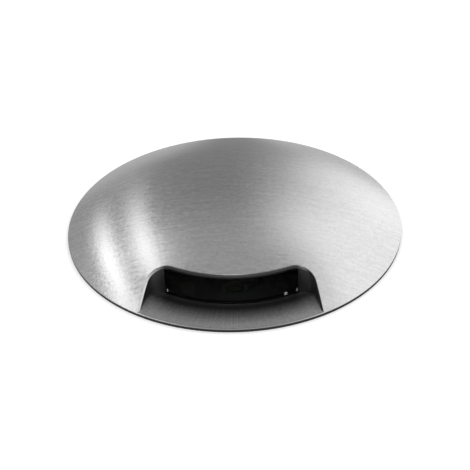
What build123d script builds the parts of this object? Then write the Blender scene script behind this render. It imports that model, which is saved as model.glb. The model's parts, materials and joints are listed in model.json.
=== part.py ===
from build123d import *
from math import atan2, cos, degrees, hypot, radians, sin, sqrt, tan
import os

os.makedirs("parts", exist_ok=True)

# A recessed path light. Millimetres. The origin is on the light's axis at the paving's
# surface, +Z is up, and the window in the cap faces -Y.

# Shared clearances
overrun = 1.0  # how far a cutting shape runs past the metal that it opens
blank_margin = 3.0  # spare metal round the cap before its rim is turned
running_gap = 0.3  # between pieces that move past each other
fitting_gap = 0.1  # between pieces that are pushed together by hand
thread_gap = 0.05  # between a screw's shank and its tapped hole
edge_tolerance = 0.05  # within which an edge counts as lying on a surface

# Cap: a shallow dome above the paving, with a step below it that drops into the hole
cap_radius = 45.0
rim_edge = 0.8  # upright outer edge of the rim
dome_rise = 12.15  # crown above the rim's upright edge
crown_roof = 2.5  # roof's thickness at the crown
mouth_roof = 0.9  # roof's thickness at the window's inner edge
register_depth = 3.0

# Window: an inner edge concentric with the cap, flared sides and a sunken floor
mouth_inset = 0.5  # of the inner edge from the chamber's wall
mouth_half_width = 20.7  # where the inner edge crosses the middle plane
mouth_flare_angle = 12.0
corner_radius = 4.1
lip_width = 0.2  # dome left standing in front of the floor
floor_drop = 2.4  # from the lip down to the chamber's edge
edge_break = 0.45

# Deflector under the roof
deflector_radius = 25.0
deflector_thickness = 0.8
deflector_standoff = 1.2
deflector_boss_radius = 2.6
deflector_circle = 15.0
deflector_screw_count = 3

# Glass and its seals
ring_grip = 1.1  # width of the cap's face that bears on the ring
ring_wall = 1.0
ring_flange = 0.8
ring_rise = 1.8  # upstand above the cap's lower face
ring_bevel = 0.35
gasket_thickness = 1.0
lens_thickness = 6.0
lens_edge = 0.4
ledge_inset = 3.5  # of the lower gasket's bore from the bay's wall

# Sleeve in the paving
sleeve_wall = 2.0
sleeve_length = 88.0
key_groove_depth = 0.8
key_groove_width = 3.0
key_groove_pitch = 20.0
key_groove_count = 3
seating_thickness = 1.0
foot_thickness = 2.5
foot_spigot = 6.0
foot_wall = 2.0
foot_outlet = 10.2
drain_radius = 3.0
drain_circle = 25.0
drain_count = 6

# Housing
head_clearance = 0.6  # between the head and the sleeve
head_wall = 4.3
ledge_thickness = 4.0
barrel_wall = 3.0
optic_bay = 12.2  # from the glass's ledge down to the web
web_thickness = 3.0
driver_bay = 28.0
flange_width = 5.5  # beyond the barrel
flange_thickness = 5.0
fin_groove_depth = 1.2
fin_groove_width = 1.6
fin_groove_pitch = 3.4
fin_groove_count = 3

# Screws: shank and head radii, head heights and hexagon sockets of three sizes
small_shank = 1.0
small_head = 1.9
small_head_height = 1.1
small_key = 1.3
cap_shank = 1.25
cap_head = 2.25
cap_head_height = 2.5
cap_key = 2.0
frame_shank = 1.5
frame_head = 2.75
frame_head_height = 3.0
frame_key = 2.5
socket_depth_share = 0.55
hole_gap = 0.2  # around a shank that passes through
head_gap = 0.25  # around a head that is sunk

# Cap screws
cap_screw_count = 4
cap_screw_length = 16.0
cap_screw_recess = 3.0

# Light module
pad_inset = 0.5  # of the pad's edge from the board's
pad_thickness = 0.5
board_gap = 3.0  # between the board and the bay's wall
board_thickness = 1.6
led_circle = 11.0
led_count = 3
led_side = 3.4
led_base = 0.8
led_dome = 1.4
holder_rim = 5.9  # beyond the optics
holder_gap = 0.4  # between the holder and the bay's wall
holder_top_gap = 0.8  # below the glass's ledge
optic_flange_radius = 7.7
optic_flange = 1.2
optic_top_radius = 6.6
optic_foot_radius = 3.6
optic_lift = 0.2  # above the board
optic_pocket_radius = 2.6
optic_pocket_depth = 2.6
module_screw_edge = 3.0  # from the board's edge to a screw's axis
module_screw_recess = 3.2
module_bite = 2.4  # thread held in the web

# Leads through the web
lead_radius = 0.6
lead_pitch = 2.6
lead_stub = 0.8  # beyond each board
grommet_radius = 3.8
grommet_lip = 1.2
grommet_lip_height = 0.7

# Driver
driver_board_gap = 2.5  # between the board and the bay's wall
driver_board_thickness = 1.6
spacer_radius = 2.6
spacer_height = 6.0
driver_screw_edge = 3.5  # from the board's edge to a screw's axis
driver_bite = 2.4
inductor_radius = 6.0
inductor_height = 8.0
inductor_flange = 1.2
inductor_waist = 1.2
capacitor_radius = 4.0
capacitor_height = 11.0
capacitor_crimp = 0.5
capacitor_crimp_height = 1.0
chip_length = 5.0
chip_width = 4.0
chip_height = 1.6
chip_pin_count = 4
chip_pin_width = 0.4
chip_pin_reach = 1.0
chip_pin_thickness = 0.25
terminal_length = 10.2
terminal_width = 8.0
terminal_height = 9.0
terminal_pitch = 5.0
terminal_entry = 1.4
terminal_entry_depth = 4.0
terminal_screw = 1.5
terminal_screw_depth = 2.0
# Places on the driver board, across and along, as shares of its radius
driver_place_shares = {
    "inductor": (-0.48, -0.02),
    "first capacitor": (0.4, 0.2),
    "second capacitor": (0.62, -0.25),
    "chip": (0.08, -0.42),
    "terminal": (0.0, 0.68),
}

# Base
base_thickness = 5.0
base_spigot = 2.0
base_screw_edge = 3.7  # from the flange's edge to a screw's axis
base_screw_count = 4
base_screw_recess = 3.2
base_screw_bite = 4.5
seal_inset = 1.4  # of the seal's circle from the bay's wall
seal_section = 1.2
seal_groove_width = 1.6

# Cable gland
gland_thread = 8.0
gland_flats = 20.0
gland_hex = 4.0
gland_washer_reach = 11.0
gland_washer = 1.0
gland_stem = 8.0  # below the hexagon
gland_bore = 4.2
gland_cup = 5.5
gland_nut_length = 13.0
gland_nut_gap = 2.0  # between the hexagon and the nut
gland_nut_end = 2.0
cable_radius = 3.3
gland_seal_length = 9.0
gland_lock_flats = 19.0
gland_lock = 3.0

# Retaining clips
clip_space = 11.0  # between the barrel and the sleeve
clip_pad_rise = 1.6  # of the pad's face from the barrel
clip_pad_margin = 1.6  # on each side of the plate
clip_plate = 1.0
clip_plate_margin = 1.0  # on each side of the ears
clip_plate_reach = 13.0  # above the pin's axis
clip_pin_rise = 5.0  # above the flange
clip_pin_out = 3.6  # pin's axis beyond the pad's face
clip_pin_radius = 1.0
clip_pin_head = 1.5
clip_pin_head_length = 0.5
ear_thickness = 1.0
ear_reach = 2.3  # around the pin's axis
arm_width = 8.4
arm_thickness = 1.0
arm_length = 19.0
arm_tip_radius = 1.5
eye_radius = 2.2
eye_width = 3.2
clip_screw_rise = 9.0  # above the pin's axis
clip_screw_spread = 8.0
clip_screw_length = 3.6
wire_radius = 0.35
coil_radius = 1.9
coil_pitch = 1.15
coil_turns = 3
coil_steps = 24  # points to a turn, where the gap between turns is measured
spring_slack_angle = 0.9  # by which the leg leans less than the arm
spring_leg = 5.0
sleeve_touch_gap = 0.4  # between a clip's tip and the sleeve

# Radii, from the optics out to the sleeve and back in to the glass and the window
holder_radius = led_circle + optic_flange_radius + holder_rim
bay_radius = holder_radius + holder_gap
barrel_radius = bay_radius + barrel_wall
flange_radius = barrel_radius + flange_width
sleeve_bore = barrel_radius + clip_space
sleeve_radius = sleeve_bore + sleeve_wall
head_radius = sleeve_bore - head_clearance
lens_bore = head_radius - head_wall
lens_radius = lens_bore - hole_gap
cap_screw_circle = (lens_bore + head_radius) / 2
chamber_radius = lens_radius - ring_grip
mouth_radius = chamber_radius - mouth_inset
ring_bore = chamber_radius - running_gap - ring_wall
seal_bore = bay_radius + ledge_inset
board_radius = bay_radius - board_gap
pad_radius = board_radius - pad_inset
module_screw_circle = board_radius - module_screw_edge
driver_board_radius = bay_radius - driver_board_gap
driver_screw_circle = driver_board_radius - driver_screw_edge
base_screw_circle = flange_radius - base_screw_edge
seal_circle = bay_radius + seal_inset
dome_radius = (cap_radius**2 + dome_rise**2) / (2 * dome_rise)

# Levels, from the crown down
crown_top = rim_edge + dome_rise
seat_level = -register_depth
gasket_level = seat_level - ring_flange
lens_top = gasket_level - gasket_thickness
lens_bottom = lens_top - lens_thickness
ledge_level = lens_bottom - gasket_thickness
head_bottom = ledge_level - ledge_thickness
web_top = ledge_level - optic_bay
web_bottom = web_top - web_thickness
flange_bottom = web_bottom - driver_bay
flange_top = flange_bottom + flange_thickness
pin_level = flange_top + clip_pin_rise
plate_top = pin_level + clip_plate_reach
clip_screw_level = pin_level + clip_screw_rise
base_bottom = flange_bottom - base_thickness
sleeve_top = seat_level - seating_thickness
sleeve_bottom = sleeve_top - sleeve_length
board_bottom = web_top + pad_thickness
board_top = board_bottom + board_thickness
holder_top = ledge_level - holder_top_gap
driver_top = web_bottom - spacer_height
driver_bottom = driver_top - driver_board_thickness


def disc(radius, low, high):
    return Pos(0, 0, low) * Cylinder(radius, high - low, align=(Align.CENTER, Align.CENTER, Align.MIN))


def ring(inner, outer, low, high):
    return disc(outer, low, high) - disc(inner, low - overrun, high + overrun)


def turned(points):
    outline = Polyline(*[(out, 0, up) for out, up in points], close=True)
    return revolve(make_face(outline), Axis.Z)


def ball(radius, top):
    return Pos(0, 0, top - radius) * Sphere(radius)


def block(across, along, up):
    corners = [(span[0] + span[1]) / 2 for span in (across, along, up)]
    sides = [span[1] - span[0] for span in (across, along, up)]
    return Pos(*corners) * Box(*sides)


def hexagon(flats, low, high):
    outline = RegularPolygon(flats / 2, 6, major_radius=False)
    return Pos(0, 0, low) * extrude(outline, high - low)


def spread(piece, count, circle, first_angle):
    turns = [first_angle + turn * 360 / count for turn in range(count)]
    return [Rot(0, 0, turn) * Pos(circle, 0, 0) * piece for turn in turns]


def joined(pieces):
    whole = pieces[0]
    for piece in pieces[1:]:
        whole += piece
    return whole


def screw(shank, length, head, head_height, key):
    """A screw that points up, with the underside of its head at zero."""
    body = disc(shank, 0, length) + disc(head, -head_height, 0)
    socket = hexagon(key, -head_height - overrun, head_height * (socket_depth_share - 1))
    return body - socket


def save(name, *pieces):
    solids = [solid for piece in pieces for solid in piece.solids()]
    export_step(Compound(solids) if len(solids) > 1 else solids[0], f"parts/{name}.step")


def dome_height(out):
    return crown_top - dome_radius + sqrt(dome_radius**2 - out**2)


# Cap
ceiling_top = crown_top - crown_roof
ceiling_drop = ceiling_top - dome_height(mouth_radius) + mouth_roof
ceiling_radius = (mouth_radius**2 + ceiling_drop**2) / (2 * ceiling_drop)
lip_radius = cap_radius - lip_width
lip_level = dome_height(lip_radius)
floor_span = lip_radius - chamber_radius
floor_radius = (floor_span**2 + floor_drop**2) / (2 * floor_drop)
floor_level = lip_level - floor_drop
deflector_top = ceiling_top - deflector_standoff
deflector_first_angle = 90.0


def window_plan():
    flare = tan(radians(mouth_flare_angle))
    inner, outer = mouth_radius / 2, cap_radius + blank_margin + overrun
    inner_half = mouth_half_width + (inner - mouth_radius) * flare
    outer_half = mouth_half_width + (outer - mouth_radius) * flare
    sides = make_face(
        Polyline(
            (-inner_half, -inner),
            (inner_half, -inner),
            (outer_half, -outer),
            (-outer_half, -outer),
            close=True,
        )
    )
    plan = sides - Circle(mouth_radius)
    return fillet(plan.vertices().sort_by(Axis.Y)[-2:], corner_radius)


def on_window_edge(edge):
    middle = edge.position_at(0.5)
    out = hypot(middle.X, middle.Y)
    near_dome = abs(middle.Z - dome_height(out)) < edge_tolerance
    return near_dome and middle.Y < -mouth_radius / 2 and out > mouth_radius - edge_tolerance


def make_cap():
    wide = cap_radius + blank_margin
    shell = disc(wide, seat_level, crown_top) & ball(dome_radius, crown_top)
    shell -= Pos(0, 0, seat_level - overrun) * extrude(window_plan(), crown_top - seat_level + overrun)
    shell = chamfer([edge for edge in shell.edges() if on_window_edge(edge)], edge_break)
    shell -= ring(cap_radius, wide + overrun, seat_level - overrun, crown_top)
    shell -= ring(sleeve_radius, wide, seat_level - overrun, 0)
    chamber = disc(chamber_radius, seat_level - overrun, crown_top) & ball(ceiling_radius, ceiling_top)
    shell -= chamber
    shell += make_floor()
    boss = disc(deflector_boss_radius, deflector_level(), ceiling_top)
    hole = disc(small_shank + thread_gap, deflector_level() - overrun, deflector_screw_top())
    shell = joined([shell] + deflector_places(boss)) - joined(deflector_places(hole))
    blind = disc(cap_shank + thread_gap, seat_level - overrun, cap_screw_top() + fitting_gap)
    return shell - joined(cap_screw_places(blind))


def make_floor():
    """The ring under the window: it rises from the chamber's edge to the lip at the rim."""
    half = lip_radius - floor_span / 2
    sag = floor_radius - sqrt(floor_radius**2 - (floor_span / 2) ** 2)
    floor_line = ThreePointArc(
        (chamber_radius, 0, floor_level),
        (half, 0, lip_level - sag),
        (lip_radius, 0, lip_level),
    )
    rest = Polyline(
        (lip_radius, 0, lip_level),
        (cap_radius, 0, rim_edge),
        (cap_radius, 0, 0),
        (sleeve_radius, 0, 0),
        (sleeve_radius, 0, seat_level),
        (chamber_radius, 0, seat_level),
        (chamber_radius, 0, floor_level),
    )
    return revolve(make_face([floor_line, rest]), Axis.Z)


def deflector_places(piece):
    return spread(piece, deflector_screw_count, deflector_circle, deflector_first_angle)


def deflector_level():
    """Upper face of the flat spots that the deflector screws to."""
    return deflector_height(deflector_circle)


def deflector_height(out):
    return deflector_top - ceiling_radius + sqrt(ceiling_radius**2 - out**2)


def deflector_screw_top():
    return deflector_level() + crown_roof


def cap_screw_places(piece):
    return spread(piece, cap_screw_count, cap_screw_circle, 180 / cap_screw_count)


def cap_screw_seat():
    return head_bottom + cap_screw_recess


def cap_screw_top():
    return cap_screw_seat() + cap_screw_length


def make_deflector():
    outer = disc(deflector_radius, 0, deflector_top) & ball(ceiling_radius, deflector_top)
    inner = ball(ceiling_radius - deflector_thickness, deflector_top - deflector_thickness)
    dish = outer - inner
    well = deflector_boss_radius + fitting_gap
    flat = disc(well + fitting_gap, deflector_level() - deflector_thickness, deflector_level())
    dish -= joined(deflector_places(disc(well, 0, deflector_top)))
    dish = joined([dish] + deflector_places(flat))
    return dish - joined(deflector_places(disc(small_shank + fitting_gap, 0, deflector_top)))


save("cap", make_cap())
save("light_deflector", make_deflector())
deflector_screw_seat = deflector_level() - deflector_thickness
deflector_screw = Pos(0, 0, deflector_screw_seat) * screw(
    small_shank,
    deflector_screw_top() - deflector_screw_seat - fitting_gap,
    small_head,
    small_head_height,
    small_key,
)
save("deflector_screws", *deflector_places(deflector_screw))

# Glass with the ring and gaskets that hold it
ring_top = seat_level + ring_rise
lens_ring = turned(
    [
        (ring_bore, gasket_level),
        (lens_radius, gasket_level),
        (lens_radius, seat_level),
        (ring_bore + ring_wall, seat_level),
        (ring_bore + ring_wall, ring_top),
        (ring_bore + ring_bevel, ring_top),
        (ring_bore, ring_top - ring_bevel),
    ]
)
save("lens_ring", lens_ring)
save("lens_top_gasket", ring(ring_bore, lens_radius, lens_top, gasket_level))
lens = turned(
    [
        (0, lens_bottom),
        (lens_radius - lens_edge, lens_bottom),
        (lens_radius, lens_bottom + lens_edge),
        (lens_radius, lens_top - lens_edge),
        (lens_radius - lens_edge, lens_top),
        (0, lens_top),
    ]
)
save("lens", lens)
save("lens_bottom_gasket", ring(seal_bore, lens_radius, ledge_level, lens_bottom))

# Housing
clip_turns = {"right": 0, "left": 180}
pad_face = barrel_radius + clip_pad_rise
plate_face = pad_face + clip_plate
pin_x = pad_face + clip_pin_out
ear_inner = arm_width / 2 + hole_gap
half_plate = ear_inner + ear_thickness + clip_plate_margin
half_pad = half_plate + clip_pad_margin


def module_places(piece):
    return spread(piece, led_count, module_screw_circle, 90)


def driver_places(piece):
    return spread(piece, led_count, driver_screw_circle, -90)


def base_places(piece):
    return spread(piece, base_screw_count, base_screw_circle, 180 / base_screw_count)


def clip_screw_pair(piece):
    """Two copies of a piece that points along +Z, laid to point at the light's axis."""
    places = [-clip_screw_spread / 2, clip_screw_spread / 2]
    return [Pos(plate_face, along, clip_screw_level) * Rot(0, -90, 0) * piece for along in places]


def both_sides(pieces):
    return [Rot(0, 0, turn) * piece for turn in clip_turns.values() for piece in pieces]


def make_housing():
    body = turned(
        [
            (lens_bore, seat_level),
            (head_radius, seat_level),
            (head_radius, head_bottom),
            (barrel_radius, head_bottom),
            (barrel_radius, flange_top),
            (flange_radius, flange_top),
            (flange_radius, flange_bottom),
            (bay_radius, flange_bottom),
            (bay_radius, web_bottom),
            (0, web_bottom),
            (0, web_top),
            (bay_radius, web_top),
            (bay_radius, ledge_level),
            (lens_bore, ledge_level),
        ]
    )
    pad = block(
        (barrel_radius - barrel_wall / 2, pad_face),
        (-half_pad, half_pad),
        (flange_top, plate_top),
    )
    body = joined([body] + both_sides([pad]))
    body -= disc(grommet_radius - grommet_lip + fitting_gap, web_bottom - overrun, web_top + overrun)
    bite = disc(frame_shank + thread_gap, web_top - module_bite - fitting_gap, web_top + overrun)
    body -= joined(module_places(bite))
    bite = disc(frame_shank + thread_gap, web_bottom - overrun, web_bottom + driver_bite + fitting_gap)
    body -= joined(driver_places(bite))
    through = disc(cap_shank + hole_gap, head_bottom - overrun, seat_level + overrun)
    sunk = disc(cap_head + head_gap, head_bottom - overrun, cap_screw_seat())
    body -= joined(cap_screw_places(through + sunk))
    tapped_top = flange_bottom + base_screw_bite + fitting_gap
    tapped = disc(frame_shank + thread_gap, flange_bottom - overrun, tapped_top)
    body -= joined(base_places(tapped))
    clip_hole = disc(cap_shank + thread_gap, 0, clip_screw_length + fitting_gap)
    body -= joined(both_sides(clip_screw_pair(clip_hole)))
    for fin in range(fin_groove_count):
        high = head_bottom - fin_groove_pitch * (fin + 1)
        body -= ring(barrel_radius - fin_groove_depth, head_radius, high, high + fin_groove_width)
    return body


save("housing", make_housing())
cap_screw = Pos(0, 0, cap_screw_seat()) * screw(
    cap_shank, cap_screw_length, cap_head, cap_head_height, cap_key
)
save("cap_screws", *cap_screw_places(cap_screw))

# Light module on the web
through = disc(frame_shank + hole_gap, web_bottom, ledge_level)
lead_hole = disc(grommet_radius, web_bottom, ledge_level)
pad = disc(pad_radius, web_top, board_bottom) - joined(module_places(through)) - lead_hole
save("thermal_pad", pad)

lead_places = [-lead_pitch / 2, lead_pitch / 2]
lead_clearance = disc(lead_radius + fitting_gap, driver_bottom - overrun, holder_top)
lead_bores = joined([Pos(place, 0, 0) * lead_clearance for place in lead_places])
board = disc(board_radius, board_bottom, board_top) - joined(module_places(through)) - lead_bores
save("led_board", board)


def led_places(piece):
    return spread(piece, led_count, led_circle, -90)


half_led = led_side / 2
led = block((-half_led, half_led), (-half_led, half_led), (board_top, board_top + led_base))
led += Pos(0, 0, board_top + led_base) * Sphere(
    led_dome, arc_size1=0, align=(Align.CENTER, Align.CENTER, Align.MIN)
)
save("leds", *led_places(led))

optic_bottom = board_top + optic_lift
optic_shoulder = holder_top - optic_flange
optic = turned(
    [
        (0, optic_bottom + optic_pocket_depth),
        (optic_pocket_radius, optic_bottom + optic_pocket_depth),
        (optic_pocket_radius, optic_bottom),
        (optic_foot_radius, optic_bottom),
        (optic_top_radius, optic_shoulder),
        (optic_flange_radius, optic_shoulder),
        (optic_flange_radius, holder_top),
        (0, holder_top),
    ]
)
save("optics", *led_places(optic))

module_screw_seat = holder_top - module_screw_recess
lead_room = disc(grommet_radius, board_top, board_top + lead_stub + fitting_gap)
optic_bore = disc(optic_top_radius + fitting_gap, board_top - overrun, holder_top + overrun)
optic_rebate = disc(optic_flange_radius + fitting_gap, optic_shoulder, holder_top + overrun)
head_well = disc(frame_head + head_gap, module_screw_seat, holder_top + overrun)
shank_hole = disc(frame_shank + hole_gap, board_top - overrun, module_screw_seat + overrun)
holder = disc(holder_radius, board_top, holder_top) - joined(led_places(optic_bore + optic_rebate))
holder = holder - joined(module_places(head_well + shank_hole)) - lead_room
save("optic_holder", holder)

module_screw_length = module_screw_seat - web_top + module_bite
module_screw = Pos(0, 0, module_screw_seat) * Rot(180, 0, 0) * screw(
    frame_shank, module_screw_length, frame_head, frame_head_height, frame_key
)
save("module_screws", *module_places(module_screw))

grommet_body = grommet_radius - grommet_lip
grommet = disc(grommet_body, web_bottom, board_bottom)
grommet += disc(grommet_radius, web_bottom - grommet_lip_height, web_bottom)
save("web_grommet", grommet - lead_bores)
lead = disc(lead_radius, driver_bottom - lead_stub, board_top + lead_stub)
save("link_leads", *[Pos(place, 0, 0) * lead for place in lead_places])

# Driver on its spacers under the web
driver_through = disc(frame_shank + hole_gap, driver_bottom - overrun, web_bottom)
driver_board = disc(driver_board_radius, driver_bottom, driver_top)
driver_board = driver_board - joined(driver_places(driver_through)) - lead_bores
save("driver_board", driver_board)
spacer = ring(frame_shank + hole_gap, spacer_radius, driver_top, web_bottom)
save("board_spacers", *driver_places(spacer))
driver_screw = Pos(0, 0, driver_bottom) * screw(
    frame_shank,
    web_bottom - driver_bottom + driver_bite,
    frame_head,
    frame_head_height,
    frame_key,
)
save("driver_screws", *driver_places(driver_screw))


def on_board(name, piece):
    across, along = driver_place_shares[name]
    return Pos(across * driver_board_radius, along * driver_board_radius, 0) * piece


inductor = turned(
    [
        (0, driver_bottom - inductor_height),
        (inductor_radius, driver_bottom - inductor_height),
        (inductor_radius, driver_bottom - inductor_height + inductor_flange),
        (inductor_radius - inductor_waist, driver_bottom - inductor_height + inductor_flange),
        (inductor_radius - inductor_waist, driver_bottom - inductor_flange),
        (inductor_radius, driver_bottom - inductor_flange),
        (inductor_radius, driver_bottom),
        (0, driver_bottom),
    ]
)
save("inductor", on_board("inductor", inductor))

can_bottom = driver_bottom - capacitor_height
crimp_top = driver_bottom - 2 * capacitor_crimp_height
capacitor = turned(
    [
        (0, can_bottom),
        (capacitor_radius - capacitor_crimp, can_bottom),
        (capacitor_radius, can_bottom + capacitor_crimp),
        (capacitor_radius, crimp_top - capacitor_crimp_height),
        (capacitor_radius - capacitor_crimp, crimp_top - capacitor_crimp_height / 2),
        (capacitor_radius, crimp_top),
        (capacitor_radius, driver_bottom),
        (0, driver_bottom),
    ]
)
save("capacitors", on_board("first capacitor", capacitor), on_board("second capacitor", capacitor))

chip_body = block(
    (-chip_length / 2, chip_length / 2),
    (-chip_width / 2, chip_width / 2),
    (driver_bottom - chip_height, driver_bottom),
)
pin_half = chip_width / 2 + chip_pin_reach
pin_step = chip_length / chip_pin_count
pin_pair = block(
    (-chip_pin_width / 2, chip_pin_width / 2),
    (-pin_half, pin_half),
    (driver_bottom - chip_pin_thickness, driver_bottom),
)
pins = [
    Pos((place - (chip_pin_count - 1) / 2) * pin_step, 0, 0) * pin_pair
    for place in range(chip_pin_count)
]
save("driver_chip", on_board("chip", joined([chip_body] + pins)))

terminal_low = driver_bottom - terminal_height
terminal = block(
    (-terminal_length / 2, terminal_length / 2),
    (-terminal_width / 2, terminal_width / 2),
    (terminal_low, driver_bottom),
)
entry = Pos(0, terminal_width / 2, terminal_low + terminal_height / 2) * Rot(90, 0, 0) * disc(
    terminal_entry, -overrun, terminal_entry_depth
)
screw_well = disc(terminal_screw, terminal_low - overrun, terminal_low + terminal_screw_depth)
terminal_cut = entry + screw_well
terminal -= Pos(-terminal_pitch / 2, 0, 0) * terminal_cut
terminal -= Pos(terminal_pitch / 2, 0, 0) * terminal_cut
save("terminal_block", on_board("terminal", terminal))

# Base plate and its seal
groove_floor = flange_bottom - seal_section
groove_inner = seal_circle - seal_groove_width / 2
groove = ring(groove_inner, groove_inner + seal_groove_width, groove_floor, flange_bottom)
base = disc(flange_radius, base_bottom, flange_bottom)
base += disc(bay_radius - fitting_gap, flange_bottom, flange_bottom + base_spigot)
base -= groove
base -= disc(gland_thread + fitting_gap, base_bottom - overrun, flange_bottom + base_spigot + overrun)
through = disc(frame_shank + hole_gap, base_bottom - overrun, flange_bottom + overrun)
sunk = disc(frame_head + head_gap, base_bottom - overrun, base_bottom + base_screw_recess)
base -= joined(base_places(through + sunk))
save("base_plate", base)
seal = Pos(0, 0, flange_bottom - seal_section / 2) * Torus(seal_circle, seal_section / 2)
save("base_o_ring", seal)
base_screw = Pos(0, 0, base_bottom + base_screw_recess) * screw(
    frame_shank,
    base_thickness - base_screw_recess + base_screw_bite,
    frame_head,
    frame_head_height,
    frame_key,
)
save("base_screws", *base_places(base_screw))

# Cable gland in the middle of the base
hex_top = base_bottom - gland_washer
hex_bottom = hex_top - gland_hex
stem_bottom = hex_bottom - gland_stem
lock_top = flange_bottom + base_spigot + gland_lock
gland = disc(gland_thread, stem_bottom, lock_top) + hexagon(gland_flats, hex_bottom, hex_top)
gland -= disc(gland_cup + fitting_gap, stem_bottom - overrun, hex_bottom)
gland -= disc(gland_bore, stem_bottom - overrun, lock_top + overrun)
save("gland_body", gland)
washer = ring(gland_thread + fitting_gap, gland_washer_reach, hex_top, base_bottom)
save("gland_washer", washer & hexagon(gland_flats, hex_top, base_bottom))
save("gland_seal", ring(cable_radius, gland_cup, hex_bottom - gland_seal_length, hex_bottom))
nut_top = hex_bottom - gland_nut_gap
nut_bottom = nut_top - gland_nut_length
nut_floor = hex_bottom - gland_seal_length
nut_wall = gland_flats / 2 - gland_thread
nut = hexagon(gland_flats, nut_bottom + gland_nut_end, nut_top)
nut += disc(gland_flats / 2 - nut_wall / 2, nut_bottom, nut_bottom + gland_nut_end)
nut -= disc(gland_thread + thread_gap, nut_floor, nut_top + overrun)
nut -= disc(gland_cup - fitting_gap, nut_bottom - overrun, nut_top)
save("gland_nut", nut)
lock_nut = hexagon(gland_lock_flats, flange_bottom + base_spigot, lock_top)
save("gland_lock_nut", lock_nut - disc(gland_thread + thread_gap, flange_bottom, lock_top + overrun))

# Retaining clips: bracket, pin, spring and arm, once on each side
eye_span = (-arm_width / 2, eye_width - arm_width / 2)


def across_pin(radius, low, high):
    """A round bar along Y on the pin's axis."""
    return Pos(pin_x, high, pin_level) * Rot(90, 0, 0) * disc(radius, 0, high - low)


def make_bracket():
    plate = block((pad_face, plate_face), (-half_plate, half_plate), (flange_top, plate_top))
    sides = []
    for low in (-ear_inner - ear_thickness, ear_inner):
        ear = across_pin(ear_reach, low, low + ear_thickness)
        ear += block(
            (pad_face, pin_x),
            (low, low + ear_thickness),
            (pin_level - ear_reach, pin_level + ear_reach),
        )
        sides.append(ear)
    bracket = joined([plate] + sides)
    bracket -= across_pin(clip_pin_radius + thread_gap, -half_plate, half_plate)
    holes = clip_screw_pair(disc(cap_shank + hole_gap, -overrun, clip_plate + overrun))
    return bracket - joined(holes)


def make_pin():
    end = ear_inner + ear_thickness + clip_pin_head_length
    pin = across_pin(clip_pin_radius, -end, end)
    pin += across_pin(clip_pin_head, -end, -end + clip_pin_head_length)
    return pin + across_pin(clip_pin_head, end - clip_pin_head_length, end)


tip_reach = sqrt((sleeve_bore - sleeve_touch_gap) ** 2 - (arm_width / 2) ** 2)
tip_x = tip_reach - arm_tip_radius
arm_lean = degrees(atan2(tip_x - pin_x, arm_length))


def make_arm():
    """Built upright over the pin, then leant out until its tip nears the sleeve."""
    eye = across_pin(eye_radius, *eye_span)
    start = eye_radius + running_gap
    half = arm_thickness / 2
    neck = block((pin_x - half, pin_x + half), eye_span, (pin_level, pin_level + start))
    strip = block(
        (pin_x - half, pin_x + half),
        (-arm_width / 2, arm_width / 2),
        (pin_level + start + wire_radius, pin_level + arm_length),
    )
    neck += block((pin_x - half, pin_x + half), eye_span, (pin_level, pin_level + start + 2 * wire_radius))
    tip = Pos(0, 0, arm_length) * across_pin(arm_tip_radius, -arm_width / 2, arm_width / 2)
    arm = eye + neck + strip + tip
    arm -= across_pin(clip_pin_radius + thread_gap, -arm_width, arm_width)
    return Pos(pin_x, 0, pin_level) * Rot(0, arm_lean, 0) * Pos(-pin_x, 0, -pin_level) * arm


def least_gap(path):
    """The space between neighbouring turns of the wire, measured on points along its path."""
    steps = coil_steps * (coil_turns + 1)
    points = [path @ (step / steps) for step in range(steps + 1)]
    pairs = [
        (here - there).length
        for place, here in enumerate(points)
        for there in points[place + coil_steps // 2 :]
    ]
    return min(pairs) - 2 * wire_radius


def make_spring():
    """A torsion coil beside the eye, with one leg down the bracket and one up behind the arm."""
    length = (coil_turns + (arm_lean - spring_slack_angle) / 360) * coil_pitch
    first = arm_width / 2 - wire_radius - length
    start = Pos(pin_x, first, pin_level) * Rot(0, 0, 180) * Rot(90, 0, 0)
    coil_path = Helix(coil_pitch, length, coil_radius)
    coil = sweep(Plane(origin=coil_path @ 0, z_dir=coil_path % 0) * Circle(wire_radius), path=coil_path)
    print("least gap between the clip spring's turns", round(least_gap(coil_path), 3), "mm")
    legs = []
    for end, sign in ((0, -1), (1, 1)):
        leg_plane = Plane(origin=coil_path @ end, z_dir=sign * (coil_path % end))
        legs.append(extrude(leg_plane * Circle(wire_radius), spring_leg))
    return start * joined([coil] + legs)


clip_screw = screw(cap_shank, clip_screw_length, cap_head, small_head_height, cap_key)
save("clip_brackets", *both_sides([make_bracket()]))
save("clip_pins", *both_sides([make_pin()]))
save("clip_springs", *both_sides([make_spring()]))
save("clip_screws", *both_sides(clip_screw_pair(clip_screw)))
for side, turn in clip_turns.items():
    save(f"clip_arm_{side}", Rot(0, 0, turn) * make_arm())

# What stays in the paving
save("seating_ring", ring(head_radius + running_gap, sleeve_radius, sleeve_top, seat_level))
sleeve = ring(sleeve_bore, sleeve_radius, sleeve_bottom, sleeve_top)
for groove in range(key_groove_count):
    low = sleeve_bottom + key_groove_pitch * (groove + 1)
    sleeve -= ring(sleeve_radius - key_groove_depth, sleeve_radius + overrun, low, low + key_groove_width)
save("sleeve", sleeve)
foot_bottom = sleeve_bottom - foot_thickness
foot_outer = sleeve_bore - fitting_gap
foot = disc(sleeve_radius, foot_bottom, sleeve_bottom)
foot += ring(foot_outer - foot_wall, foot_outer, foot_bottom, sleeve_bottom + foot_spigot)
foot -= disc(foot_outlet, foot_bottom - overrun, sleeve_bottom + overrun)
drain = disc(drain_radius, foot_bottom - overrun, sleeve_bottom + overrun)
foot -= joined(spread(drain, drain_count, drain_circle, 0))
save("sleeve_foot", foot)
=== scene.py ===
import json
import math
import bmesh
import bpy
from mathutils import Matrix, Vector


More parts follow.
